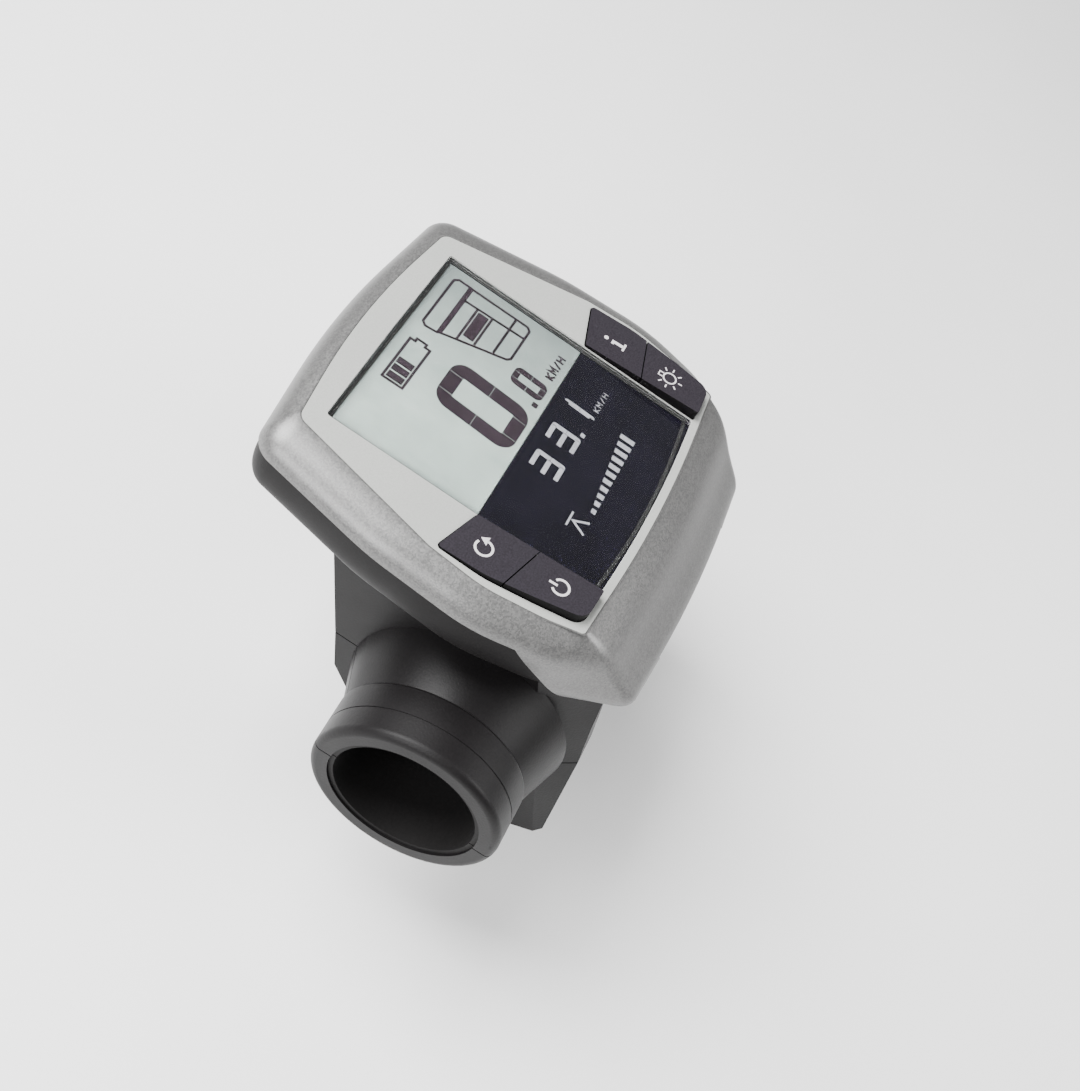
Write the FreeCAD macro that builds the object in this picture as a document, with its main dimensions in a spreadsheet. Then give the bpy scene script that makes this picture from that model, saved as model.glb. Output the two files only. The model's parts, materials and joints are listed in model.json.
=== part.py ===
import FreeCAD, Part
import math
import os
import re

# A handlebar-mounted cycling computer: a slide-on display unit and the dock that clamps it to the bar.
# Row frame: origin on the handlebar axis, midway between the clamps. +X is the rider's right along the
# bar, +Y is forward, +Z is the display window's outward normal. Display parts are drawn in the display's
# own frame (origin at the middle of the window's top area, in the bezel's face) and placed from there.

os.makedirs("parts", exist_ok=True)
doc = FreeCAD.newDocument("cycling_computer")

DIMENSIONS = {
    # where the display's own frame stands in the row frame
    "display_forward": 37.0, "display_height": 49.0,
    # display casing
    "seam_drop": 5.5, "chin_seam_drop": 16.9, "case_depth": 17.0, "wall": 2.0, "bezel_thick": 1.6,
    # window and display stack
    "window_half": 26.9, "window_recess": 0.25, "window_thick": 1.15,
    "panel_top": 17.6, "panel_thick": 1.2, "panel_split": 17.0, "panel_gap": 0.05,
    "guide_thick": 1.3, "tray_thick": 1.0, "board_thick": 1.2, "board_drop": 6.1,
    # keys
    "key_rise_top": 0.35, "key_rise_chin": 2.5, "key_skirt": 2.6,
    # battery, buzzer and socket
    "cell_half_width": 17.0, "cell_front": 6.0, "cell_rear": -42.0, "cell_thick": 3.7, "cell_drop": 12.2,
    "buzzer_radius": 4.5, "buzzer_thick": 3.0,
    # guide rail and its channel in the casing's underside
    "channel_half": 19.6, "channel_neck": 15.4, "channel_top": 14.1, "channel_lip": 15.8,
    "channel_front": -3.0, "mouth_half": 20.0,
    "rail_half": 19.2, "rail_neck": 15.0, "rail_under": 15.5, "rail_top": 14.4,
    # dock
    "dock_half": 35.0, "dock_gap": 0.3, "stem_half": 20.5, "stem_clear": 22.5, "bore_radius": 17.0,
    "bar_radius": 15.9, "neck_radius": 25.0, "collar_radius": 21.3, "collar_start": 46.8,
    "collar_end": 60.0, "parting_line": 53.4,
    # clamp screws
    "screw_radius": 1.5, "insert_radius": 2.0, "screw_side": 28.0, "screw_front": 24.0, "screw_rear": -21.2,
    # latch
    "latch_half": 8.0, "latch_pivot_fore": -8.0, "latch_pivot_up": 28.0, "latch_pin_radius": 1.0,
    # spring contacts
    "pin_radius": 0.7, "pin_pitch": 4.68, "pin_row": 19.0, "carrier_half": 11.0,
}

sheet = doc.addObject("Spreadsheet::Sheet", "Dims")
for row, (alias, value) in enumerate(DIMENSIONS.items(), start=1):
    sheet.set("A%d" % row, alias)
    sheet.set("B%d" % row, str(value))
    sheet.setAlias("B%d" % row, alias)
doc.recompute()

ALIAS = re.compile(r"[a-z]+_[a-z_]*[a-z]|wall")
NODES = {}


def expression(text):
    """Point each dimension's name in a formula at the spreadsheet."""
    return ALIAS.sub(lambda found: "Dims." + found.group(0), str(text))


def value(text):
    """The number that a formula of dimensions comes to."""
    return float(sheet.evalExpression(expression(text)))


def bind(obj, **formulas):
    """Bind an object's properties to the spreadsheet."""
    for name, text in formulas.items():
        obj.setExpression(name, expression(text))


def place(obj, x="0", y="0", z="0"):
    """Bind an object's position to the spreadsheet."""
    for axis, text in (("x", x), ("y", y), ("z", z)):
        obj.setExpression("Placement.Base." + axis, expression(text))


def block(name, x, y, z):
    """A box between two formulas on each axis."""
    box = doc.addObject("Part::Box", name)
    bind(box, Length="(%s) - (%s)" % (x[1], x[0]), Width="(%s) - (%s)" % (y[1], y[0]),
         Height="(%s) - (%s)" % (z[1], z[0]))
    place(box, x[0], y[0], z[0])
    return box


AXIS_TURN = {
    "X": FreeCAD.Rotation(FreeCAD.Vector(0, 1, 0), 90),
    "Y": FreeCAD.Rotation(FreeCAD.Vector(1, 0, 0), -90),
    "Z": FreeCAD.Rotation(),
}


def rod(name, axis, start, radius, length):
    """A cylinder from a start point along a row axis."""
    cylinder = doc.addObject("Part::Cylinder", name)
    cylinder.Placement.Rotation = AXIS_TURN[axis]
    bind(cylinder, Radius=radius, Height=length)
    place(cylinder, *start)
    return cylinder


def cone(name, axis, start, radius_start, radius_end, length):
    """A cone from a start point along a row axis."""
    shape = doc.addObject("Part::Cone", name)
    shape.Placement.Rotation = AXIS_TURN[axis]
    bind(shape, Radius1=radius_start, Radius2=radius_end, Height=length)
    place(shape, *start)
    return shape


def fuse(name, pieces):
    joined = doc.addObject("Part::MultiFuse", name)
    joined.Shapes = pieces
    joined.Refine = True
    return joined


def cut(name, base, tools):
    """Take tools away from base."""
    result = doc.addObject("Part::Cut", name)
    result.Base = base
    result.Tool = tools[0] if len(tools) == 1 else fuse(name + "_tools", tools)
    result.Refine = True
    return result


def common(name, pieces):
    result = doc.addObject("Part::MultiCommon", name)
    result.Shapes = pieces
    return result


def group(name, pieces):
    """Separate solids that share a node."""
    compound = doc.addObject("Part::Compound", name)
    compound.Links = pieces
    return compound


def node(name, obj, in_display=False):
    """Name a finished sub-part, and stand display parts in the row frame."""
    if in_display:
        if obj.TypeId in ("Part::Box", "Part::Cylinder"):
            obj = group(name + "_placed", [obj])
        place(obj, "0", "display_forward", "display_height")
    obj.Label = name
    NODES[name] = obj
    return obj


# ---------------------------------------------------------------- outlines

def mirrored(half):
    """A closed outline from its right half, listed from the front centre to the rear centre."""
    left = [(-x, y, radius) for x, y, radius in reversed(half[1:-1])]
    return half + left


def flipped(corners, side):
    """The same outline on the other side of the display."""
    if side > 0:
        return corners
    return [(-x, y, radius) for x, y, radius in reversed(corners)]


def inset(corners, distance):
    """Move an outline's sides inwards by a distance; corners run clockwise seen from +Z."""
    moved = []
    count = len(corners)
    for i, (x, y, radius) in enumerate(corners):
        before = corners[i - 1]
        after = corners[(i + 1) % count]
        ax, ay = x - before[0], y - before[1]
        bx, by = after[0] - x, after[1] - y
        a_len = math.hypot(ax, ay)
        b_len = math.hypot(bx, by)
        normal_a = (ay / a_len, -ax / a_len)
        normal_b = (by / b_len, -bx / b_len)
        scale = distance / (1 + normal_a[0] * normal_b[0] + normal_a[1] * normal_b[1])
        moved.append((x + (normal_a[0] + normal_b[0]) * scale, y + (normal_a[1] + normal_b[1]) * scale,
                      max(radius - distance, 0.3)))
    return moved


def outline_edges(corners):
    """Lines and arcs of a polygon whose corners are rounded."""
    points = [FreeCAD.Vector(x, y, 0) for x, y, radius in corners]
    starts, ends, arcs = [], [], []
    for i, point in enumerate(points):
        radius = corners[i][2]
        to_before = (points[i - 1] - point).normalize()
        to_after = (points[(i + 1) % len(points)] - point).normalize()
        half_angle = to_before.getAngle(to_after) / 2
        reach = radius / math.tan(half_angle)
        start = point + to_before * reach
        end = point + to_after * reach
        bisector = (to_before + to_after).normalize()
        middle = point + bisector * (radius / math.sin(half_angle) - radius)
        starts.append(start)
        ends.append(end)
        arcs.append(Part.Arc(start, middle, end))
    edges = []
    for i, arc in enumerate(arcs):
        edges.append(arc)
        edges.append(Part.LineSegment(ends[i], starts[(i + 1) % len(points)]))
    return edges


PLANE_ROLE = {"XY": "XY_Plane", "XZ": "XZ_Plane", "YZ": "YZ_Plane"}


def sketch_on(body, name, plane, geometry, offset="0"):
    """A sketch on one of its body's own origin planes, at a bound offset along the plane's normal."""
    sketch = body.newObject("Sketcher::SketchObject", name)
    support = [feature for feature in body.Origin.OriginFeatures if feature.Role == PLANE_ROLE[plane]][0]
    sketch.AttachmentSupport = [(support, "")]
    sketch.MapMode = "FlatFace"
    sketch.setExpression("AttachmentOffset.Base.z", expression(offset))
    sketch.addGeometry(geometry, False)
    return sketch


def new_body(name):
    return doc.addObject("PartDesign::Body", name)


def pad(body, sketch, length, reverse=False):
    feature = body.newObject("PartDesign::Pad", sketch.Name + "_pad")
    feature.Profile = sketch
    feature.Reversed = reverse
    bind(feature, Length=length)
    sketch.Visibility = False
    return feature


def slab(name, corners, low, high):
    """A plate of a rounded outline between two heights."""
    body = new_body(name)
    sketch = sketch_on(body, name + "_outline", "XY", outline_edges(corners), low)
    pad(body, sketch, "(%s) - (%s)" % (high, low))
    return body


def polygon(points):
    vectors = [FreeCAD.Vector(a, b, 0) for a, b in points]
    return [Part.LineSegment(vectors[i - 1], vectors[i]) for i in range(len(vectors))]


def side_prism(name, points, x_low, x_high):
    """A side-view polygon of (y, z) points, carried along X between two formulas."""
    body = new_body(name)
    sketch = sketch_on(body, name + "_side", "YZ", polygon(points), x_low)
    pad(body, sketch, "(%s) - (%s)" % (x_high, x_low))
    return body


def loft(name, levels):
    """A smooth solid through outlines at rising heights."""
    body = new_body(name)
    sketches = [sketch_on(body, "%s_level%d" % (name, i), "XY", outline_edges(corners), height)
                for i, (height, corners) in enumerate(levels)]
    feature = body.newObject("PartDesign::AdditiveLoft", name + "_loft")
    feature.Profile = sketches[0]
    feature.Sections = sketches[1:]
    feature.Ruled = False
    return body


# Right halves of the display's plan outlines, from the front centre to the rider-side centre, with each
# corner's rounding radius. The casing is widest at the seam and rises inwards to the bezel.
SEAM_OUTLINE = mirrored([(0, 28.6, 180), (38.8, 24.7, 6), (44.9, -4, 60), (46.4, -27, 40), (42.9, -43, 18),
                         (35.2, -54.2, 4), (0, -56.4, 300)])
CHIN_OUTLINE = mirrored([(0, 28.6, 180), (38.8, 24.7, 6), (44.9, -4, 60), (46.4, -27, 40), (42.8, -44, 25),
                         (33.6, -62.6, 4), (0, -65.0, 300)])
SHOULDER_OUTLINE = mirrored([(0, 27.5, 180), (37.0, 23.4, 5), (43.3, -6, 60), (44.8, -27, 40),
                             (41.4, -41.5, 18), (35.6, -50.2, 3), (0, -52.5, 300)])
BEZEL_OUTLINE = mirrored([(0, 24.2, 180), (31.2, 20.6, 2.5), (39.4, -12.6, 6), (40.5, -25.0, 30),
                          (38.6, -38.0, 30), (36.6, -45.8, 1.0), (0, -48.6, 300)])
RIM_OUTLINE = inset(BEZEL_OUTLINE, -0.25)
# The window's outline: straight sides, and the same bow as the bezel along its chin edge.
WINDOW_OUTLINE = mirrored([(0, 17.0, 200), (26.9, 16.8, 0.6), (26.9, -44.7, 0.6), (0, -46.9, 300)])
# The right key bank's outline, clockwise from its front outer corner.
BANK_OUTLINE = [(38.4, -13.7, 0.7), (38.6, -24.0, 25), (37.0, -34.5, 30), (35.2, -44.3, 3),
                (27.25, -44.8, 0.4), (27.25, -17.0, 0.4)]
# The line, along the front-to-chin direction, where the two key caps of a bank meet.
KEY_DIVIDE = [(27.0, -30.7), (40.5, -27.2)]


# ---------------------------------------------------------------- casing

# The seam's side view: level along the casing, then down to the bottom along the chin.
SEAM_SIDE = [(60, "seam"), (-36.5, "seam"), (-50, "chin"), (-90, "chin")]


def seam_band(name, above, below):
    """The space between two copies of the seam line, moved up and down by given amounts."""
    drop = {"seam": value("seam_drop"), "chin": value("chin_seam_drop")}
    upper = [(y, -drop[kind] + above) for y, kind in SEAM_SIDE]
    lower = [(y, -drop[kind] - below) for y, kind in reversed(SEAM_SIDE)]
    return side_prism(name, upper + lower, "-60", "60")


SHELL_SCREW_SPOTS = [(33.8, 15.0), (-33.8, 15.0), (27.0, -52.0), (-27.0, -52.0)]


def seal_span(name):
    """The length of the casing that the seal runs around, ahead of the chin."""
    return block(name, ("-60", "60"), ("-35.5", "60"), ("-20", "5"))


def front_shell():
    """The painted upper casing: a crowned rim around the bezel, drawn down into a chin."""
    middle = [((chin[0] + seam[0]) / 2, (chin[1] + seam[1]) / 2, chin[2])
              for chin, seam in zip(CHIN_OUTLINE, SEAM_OUTLINE)]
    outer = loft("shell_outer", [("-chin_seam_drop", inset(CHIN_OUTLINE, 0.45)),
                                 ("-channel_top + 0.3", CHIN_OUTLINE),
                                 ("-(channel_top + seam_drop) / 2", middle),
                                 ("-seam_drop", SEAM_OUTLINE),
                                 ("-2.2", SHOULDER_OUTLINE),
                                 ("0", RIM_OUTLINE)])
    hollow = loft("shell_hollow", [("-chin_seam_drop - 0.5", inset(CHIN_OUTLINE, 2.0)),
                                   ("-seam_drop - wall", inset(SEAM_OUTLINE, 2.2)),
                                   ("-3.9", inset(SHOULDER_OUTLINE, 2.6))])
    seat = slab("bezel_seat", BEZEL_OUTLINE, "-bezel_thick", "1")
    mouth = slab("bezel_mouth", inset(BEZEL_OUTLINE, 0.5), "-6", "0")
    under_seam = seam_band("shell_under", 0.0, 40.0)
    bosses = [rod("shell_boss", "Z", (x, y, "-12.9"), "2.7", "10") for x, y in SHELL_SCREW_SPOTS]
    boss_inside = common("shell_bosses", [fuse("shell_boss_set", bosses), outer])
    holes = [rod("shell_boss_hole", "Z", (x, y, "-15"), "1.05", "8") for x, y in SHELL_SCREW_SPOTS]
    rail_mouth = block("shell_rail_mouth", ("-mouth_half", "mouth_half"), ("-80", "-50"),
                       ("-30", "-channel_top + 0.1"))
    skin = cut("shell_skin", outer, [hollow, seat, mouth, under_seam, rail_mouth])
    node("front_shell", cut("front_shell", fuse("shell_with_bosses", [skin, boss_inside]), holes), True)


def lower_shell():
    """The black lower casing, with the guide channel in its underside and the socket's pocket."""
    outer = loft("lower_outer", [("-case_depth", inset(CHIN_OUTLINE, 5.0)),
                                 ("-15.2", inset(CHIN_OUTLINE, 1.7)),
                                 ("-12.5", inset(CHIN_OUTLINE, 0.6)),
                                 ("-4", inset(CHIN_OUTLINE, 0.5))])
    hollow = loft("lower_hollow", [("-case_depth + 1.8", inset(CHIN_OUTLINE, 6.5)),
                                   ("-13.4", inset(CHIN_OUTLINE, 3.6)),
                                   ("-3", inset(CHIN_OUTLINE, 2.5))])
    channel_roof = block("channel_roof", ("-channel_half - 1.8", "channel_half + 1.8"),
                         ("-57.5", "channel_front + 1.8"), ("-16.5", "-channel_top + 1.6"))
    floor_plate = loft("chin_floor_plate", [("-case_depth", inset(CHIN_OUTLINE, 2.5)),
                                            ("-15.2", inset(CHIN_OUTLINE, 4.9))])
    chin_floor = common("chin_floor", [floor_plate, block("chin_floor_span", ("-60", "60"), ("-80", "-50.4"),
                                                          ("-20", "0"))])
    above_seam = seam_band("lower_above", 40.0, 0.15)
    groove_ring = cut("groove_ring", slab("groove_outer", inset(CHIN_OUTLINE, 0.95), "-20", "0"),
                      [slab("groove_inner", inset(CHIN_OUTLINE, 2.05), "-21", "1")])
    groove = common("seal_groove", [groove_ring, seam_band("groove_band", 1.0, 1.05),
                                    seal_span("groove_span")])
    wide = block("channel_wide", ("-channel_half", "channel_half"), ("-80", "channel_front"),
                 ("-channel_lip", "-channel_top"))
    neck = block("channel_slot", ("-channel_neck", "channel_neck"), ("-80", "channel_front - 3"),
                 ("-case_depth - 1", "-channel_lip + 0.5"))
    catch = block("catch_notch", ("-5.2", "5.2"), ("-56.4", "-52.2"),
                  ("-channel_top - 0.1", "-channel_top + 0.9"))
    pads = block("pad_window", ("-10.6", "10.6"), ("-22.4", "-13.6"),
                 ("-channel_top - 0.1", "-channel_top + 2"))
    screw_posts = [rod("lower_post", "Z", (x, y, "-16.6"), "3.6", "3.6") for x, y in SHELL_SCREW_SPOTS]
    screw_ways = []
    for x, y in SHELL_SCREW_SPOTS:
        screw_ways.append(rod("screw_way", "Z", (x, y, "-18"), "1.35", "6"))
        screw_ways.append(rod("screw_sink", "Z", (x, y, "-18"), "2.45", "2.1"))
    flap_seat = block("flap_seat", ("43.2", "50"), ("-24.2", "-9.8"), ("-12.1", "-6.8"))
    flap_knuckle = rod("flap_knuckle_seat", "Y", ("44.6", "-24.2", "-10.1"), "1.25", "14.4")
    socket_way = block("socket_way", ("38", "45"), ("-21.2", "-12.8"), ("-10.2", "-6.9"))
    flap_pin_way = rod("flap_pin_way", "Y", ("44.6", "-25.4", "-10.1"), "0.5", "16.8")
    solid = cut("lower_skin", outer, [hollow, above_seam])
    kept_posts = common("lower_posts", [fuse("lower_post_set", screw_posts), outer])
    whole = fuse("lower_whole", [solid, channel_roof, kept_posts, chin_floor])
    node("lower_shell", cut("lower_shell", whole, [wide, neck, catch, pads, groove, flap_seat, flap_knuckle,
                                                   socket_way, flap_pin_way] + screw_ways), True)


def shell_seal():
    """The soft seal in the groove of the lower casing's rim; it ends where the seam drops to the chin."""
    ring = cut("seal_ring", slab("seal_outer", inset(CHIN_OUTLINE, 1.05), "-20", "0"),
               [slab("seal_inner", inset(CHIN_OUTLINE, 1.95), "-21", "1")])
    kept = [ring, seam_band("seal_band", -0.05, 1.0), seal_span("seal_span")]
    node("shell_seal", common("shell_seal", kept), True)


def shell_screws():
    """Four screws that hold the casing's halves together from below."""
    screws = []
    for x, y in SHELL_SCREW_SPOTS:
        head = rod("shell_screw_head", "Z", (x, y, "-16.8"), "2.2", "0.85")
        shank = rod("shell_screw_shank", "Z", (x, y, "-16.0"), "1.0", "7.6")
        drive = rod("shell_screw_drive", "Z", (x, y, "-17"), "0.85", "0.6")
        screws.append(cut("shell_screw", fuse("shell_screw_whole", [head, shank]), [drive]))
    node("shell_screws", group("shell_screws", screws), True)


# ---------------------------------------------------------------- front face

def bezel():
    """The pale insert that frames the window and both key banks."""
    plate = slab("bezel_plate", inset(BEZEL_OUTLINE, 0.1), "-bezel_thick + 0.03", "0")
    window = slab("bezel_window", inset(WINDOW_OUTLINE, -0.1), "-3", "2")
    banks = [slab("bezel_bank", flipped(inset(BANK_OUTLINE, -0.2), side), "-3", "2") for side in (1, -1)]
    node("bezel", cut("bezel", plate, [window] + banks), True)


def display_window():
    """The clear window over both panels."""
    pane = slab("window_pane", WINDOW_OUTLINE, "-window_recess - window_thick", "-window_recess")
    node("display_window", pane, True)


def panels():
    """The reflective upper panel, the dark lower panel and what lights and carries them."""
    top = "-window_recess - window_thick - panel_gap - 0.25"
    bottom = "(%s) - panel_thick" % top
    sides = ("-window_half + 0.05", "window_half - 0.05")
    node("lcd_panel", block("lcd_panel", sides, ("-panel_split", "panel_top"), (bottom, top)), True)
    lower = [(26.8, -17.2, 0.3), (26.8, -45.0, 0.5), (0, -47.0, 300), (-26.8, -45.0, 0.5),
             (-26.8, -17.2, 0.3)]
    node("lower_display", slab("lower_display_plate", lower, bottom, top), True)
    guide_top = "(%s) - 0.1" % bottom
    guide_bottom = "(%s) - guide_thick" % guide_top
    node("light_guide", block("light_guide", ("-26.4", "26.4"), ("-44.5", "panel_top - 0.5"),
                              (guide_bottom, guide_top)), True)
    tray_top = "(%s) - 0.08" % guide_bottom
    tray_bottom = "(%s) - tray_thick" % tray_top
    plate = block("tray_plate", ("-26.7", "26.7"), ("-44.8", "panel_top"), (tray_bottom, tray_top))
    hollows = [block("tray_hollow", (x, "(%s) + 22" % x), (y, "(%s) + 27" % y),
                     ("(%s) - 1" % tray_bottom, "(%s) + 1" % tray_top))
               for x in ("-24", "2") for y in ("-42", "-12")]
    node("lcd_tray", cut("lcd_tray", plate, hollows), True)


def key_cap(name, side, rear):
    """One key cap: its share of the bank's outline, its sloped top, and a skirt that stops it from below."""
    outline = flipped(inset(BANK_OUTLINE, 0.0), side)
    cap = slab(name + "_cap", outline, "-key_skirt", "5")
    skirt = slab(name + "_flange", flipped(inset(BANK_OUTLINE, -0.3), side), "-key_skirt", "-1.85")
    half_gap = 0.13
    shift = -half_gap if rear else half_gap
    far = -60 if rear else 0
    share = [(side * KEY_DIVIDE[0][0] - side * 1.5, KEY_DIVIDE[0][1] + shift - 0.4),
             (side * KEY_DIVIDE[1][0] + side * 3, KEY_DIVIDE[1][1] + shift + 0.8),
             (side * 45, far), (side * 24, far)]
    body = new_body(name + "_share")
    pad(body, sketch_on(body, name + "_share_plan", "XY", polygon(share), "-6"), "14")
    under = side_prism(name + "_slope", [(0, -8), (-60, -8), (-60, value("key_rise_chin") + 1.1),
                                         (value("-44.5"), value("key_rise_chin")),
                                         (value("-14.5"), value("key_rise_top")), (0, 0.0)], "-50", "50")
    node(name, common(name, [fuse(name + "_blank", [cap, skirt]), body, under]), True)


def key_mat(name, side):
    """The rubber mat under a key bank, with a plunger over each switch."""
    sheet_part = slab(name + "_sheet", flipped(inset(BANK_OUTLINE, 0.6), side), "-4.5", "-3.55")
    studs = [rod(name + "_stud", "Z", (side * 32.5, y, "-5.45"), "1.4", "1.2") for y in (-22.0, -37.0)]
    node(name, fuse(name, [sheet_part] + studs), True)


def dome_switches():
    """A snap switch on the board under each key."""
    switches = []
    for side in (1, -1):
        for y in (-22.0, -37.0):
            base = rod("dome_base", "Z", (side * 32.5, y, "-board_drop + 0.02"), "2.4", "0.3")
            top = cone("dome_top", "Z", (side * 32.5, y, "-board_drop + 0.3"), "2.1", "1.2", "0.25")
            switches.append(fuse("dome_switch", [base, top]))
    node("dome_switches", group("dome_switches", switches), True)


# ---------------------------------------------------------------- electronics

BOARD_OUTLINE = mirrored([(0, 17.5, 1), (29.0, 17.5, 1), (29.0, 9.0, 1), (38.0, 6.0, 1), (39.5, -40.0, 1),
                          (31.0, -46.5, 1), (0, -46.5, 1)])


def board_outline():
    """The board's outline, without the two centre points that the mirror needs."""
    return [corner for corner in BOARD_OUTLINE if corner[0] != 0]


def electronics():
    """The main board and what is soldered to it."""
    board_low = "-board_drop - board_thick"
    board = slab("board_plate", board_outline(), board_low, "-board_drop")
    node("main_board", board, True)
    chips = []
    for x, y, long_side, wide_side in ((-26, -8, 9, 9), (-27, 6, 6, 4), (25, -2, 7, 5), (26, -33, 6, 6),
                                       (-27, -34, 8, 5)):
        span_x = (x - long_side / 2, x + long_side / 2)
        span_y = (y - wide_side / 2, y + wide_side / 2)
        chips.append(block("chip", span_x, span_y, ("(%s) - 1.1" % board_low, "(%s) - 0.02" % board_low)))
    node("board_chips", group("board_chips", chips), True)
    can = rod("buzzer_can", "Z", ("18", "11.5", "(%s) - buzzer_thick" % board_low), "buzzer_radius",
              "buzzer_thick - 0.02")
    hole = rod("buzzer_hole", "Z", ("18", "11.5", "(%s) - buzzer_thick - 1" % board_low), "0.9", "1.8")
    node("buzzer", cut("buzzer", can, [hole]), True)
    cell_body = block("cell_blank", ("-cell_half_width", "cell_half_width"), ("cell_rear", "cell_front"),
                      ("-cell_drop", "-cell_drop + cell_thick"))
    rounded = doc.addObject("Part::Fillet", "cell_rounded")
    rounded.Base = cell_body
    doc.recompute()
    rounded.Edges = [(i + 1, 1.2, 1.2) for i, edge in enumerate(cell_body.Shape.Edges)
                     if abs(edge.Length - value("cell_front - cell_rear")) < 0.01]
    node("battery_cell", rounded, True)
    socket = block("socket_blank", ("36.6", "43.0"), ("-20.8", "-13.2"), ("(%s) - 2.7" % board_low,
                                                                          "(%s) - 0.02" % board_low))
    mouth = block("socket_mouth", ("38.2", "44"), ("-20.3", "-13.7"), ("(%s) - 2.3" % board_low,
                                                                       "(%s) - 0.45" % board_low))
    tongue = block("socket_tongue", ("38.0", "42.2"), ("-19.2", "-14.8"), ("(%s) - 1.5" % board_low,
                                                                           "(%s) - 1.0" % board_low))
    node("usb_socket", fuse("usb_socket", [cut("socket_shell", socket, [mouth]), tongue]), True)
    strap = side_prism("flex_side", [(17.85, -1.9), (18.1, -1.9), (18.1, -7.6), (14.0, -7.6), (14.0, -7.4),
                                     (17.85, -7.4)], "-5", "5")
    node("panel_ribbon", strap, True)


def contact_spots():
    """Where the eight contacts stand: (x, y) formulas in the row frame, two rows of four."""
    return [("(%s) * pin_pitch" % (column - 1.5), "pin_row + (%s) * 1.9" % row)
            for row in (-1, 1) for column in range(4)]


def contact_pads():
    """The gold pads in the channel's roof that meet the dock's spring contacts."""
    spots = [(x, "(%s) - display_forward" % y) for x, y in contact_spots()]
    pads = [rod("pad", "Z", (x, y, "-channel_top"), "1.35", "1.2") for x, y in spots]
    node("contact_pads", group("contact_pads", pads), True)
    backing = block("pad_backing", ("-10.4", "10.4"), ("-22.2", "-13.8"),
                    ("-channel_top + 0.6", "-channel_top + 1.55"))
    ways = [rod("pad_way", "Z", (x, y, "-channel_top - 1"), "1.35", "4") for x, y in spots]
    node("pad_carrier", cut("pad_carrier", backing, ways), True)


# ---------------------------------------------------------------- socket flap

def usb_flap():
    """The soft cover over the charging socket, hinged on a pin along its lower edge."""
    plate = block("flap_plate", ("43.7", "50"), ("-23.9", "-10.1"), ("-10.1", "-7.05"))
    knuckle = rod("flap_knuckle", "Y", ("44.6", "-23.9", "-10.1"), "0.95", "13.8")
    bore = rod("flap_bore", "Y", ("44.6", "-25", "-10.1"), "0.55", "16")
    limit = loft("flap_limit", [("-15.2", inset(CHIN_OUTLINE, 1.7)), ("-12.5", inset(CHIN_OUTLINE, 0.6)),
                                ("-4", inset(CHIN_OUTLINE, 0.5))])
    flush = common("flap_flush", [plate, limit])
    node("usb_flap", cut("usb_flap", fuse("flap_whole", [flush, knuckle]), [bore]), True)
    node("flap_pin", rod("flap_pin", "Y", ("44.6", "-25.3", "-10.1"), "0.5", "16.6"), True)


# ---------------------------------------------------------------- dock

DOCK_FACE = value("display_height - case_depth - dock_gap")
# Side views of the dock and of a clamp cap, (y, z): they lean rearwards as they come down past the bar.
DOCK_SIDE = [(-20.0, DOCK_FACE), (40.0, DOCK_FACE), (40.0, 27.0), (30.2, 0.15), (-28.6, 0.15), (-25.6, 11.5),
             (-22.6, 24.5), (-20.5, 27.0)]
CAP_SIDE = [(30.1, -0.15), (26.5, -11.0), (16.0, -22.5), (0.0, -26.0), (-20.0, -27.5), (-27.0, -27.0),
            (-33.0, -23.5), (-28.7, -0.15)]
# How far the legs' slanted rear corners lean rearwards for each millimetre down.
CORNER_LEAN = 0.45


def rear_chamfer(name, side):
    """The slanted corner that narrows each leg towards the rider."""
    body = new_body(name)
    sketches = []
    for height in (-40, 40):
        shift = CORNER_LEAN * height
        plan = polygon([(side * 50, 0.4 + shift), (side * 20, -41.2 + shift), (side * 20, -90),
                        (side * 50, -90)])
        sketches.append(sketch_on(body, "%s_plan%d" % (name, len(sketches)), "XY", plan, str(height)))
    feature = body.newObject("PartDesign::AdditiveLoft", name + "_loft")
    feature.Profile = sketches[0]
    feature.Sections = sketches[1:]
    feature.Ruled = True
    return body


def soft_band(name, side):
    """The collar's outer band, rounded at both rims, with a fine parting line around it."""
    start = "collar_start" if side > 0 else "-collar_end"
    band = rod(name + "_band", "X", (start, "0", "0"), "collar_radius", "collar_end - collar_start")
    soft = doc.addObject("Part::Fillet", name + "_soft")
    soft.Base = band
    doc.recompute()
    outer_rim = side * value("collar_end")
    soft.Edges = [(i + 1, rim, rim) for i, edge in enumerate(band.Shape.Edges) if edge.Closed
                  for rim in [1.7 if abs(edge.CenterOfMass.x - outer_rim) < 0.01 else 0.7]]
    line = "parting_line" if side > 0 else "-parting_line - 0.25"
    ring = cut(name + "_line", rod(name + "_line_outer", "X", (line, "0", "0"), "collar_radius + 1", "0.25"),
               [rod(name + "_line_inner", "X", (line, "0", "0"), "collar_radius - 0.16", "0.25")])
    return cut(name + "_lined", soft, [ring])


def clamp_ring(name, side, low, high):
    """A leg's neck and collar around the bar, between two heights."""
    start, radii = ("dock_half - 1", ("neck_radius", "collar_radius - 0.7"))
    if side < 0:
        start, radii = ("-collar_start - 0.5", ("collar_radius - 0.7", "neck_radius"))
    neck = cone(name + "_neck", "X", (start, "0", "0"), radii[0], radii[1], "collar_start - dock_half + 1.5")
    keep = block(name + "_keep", ("-70", "70"), ("-40", "40"), (low, high))
    return common(name, [fuse(name + "_whole", [neck, soft_band(name, side)]), keep])


def screw_spots(side):
    """The two screws of one clamp cap."""
    return [("screw_side * %d" % side, "screw_front"), ("screw_side * %d" % side, "screw_rear")]


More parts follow.
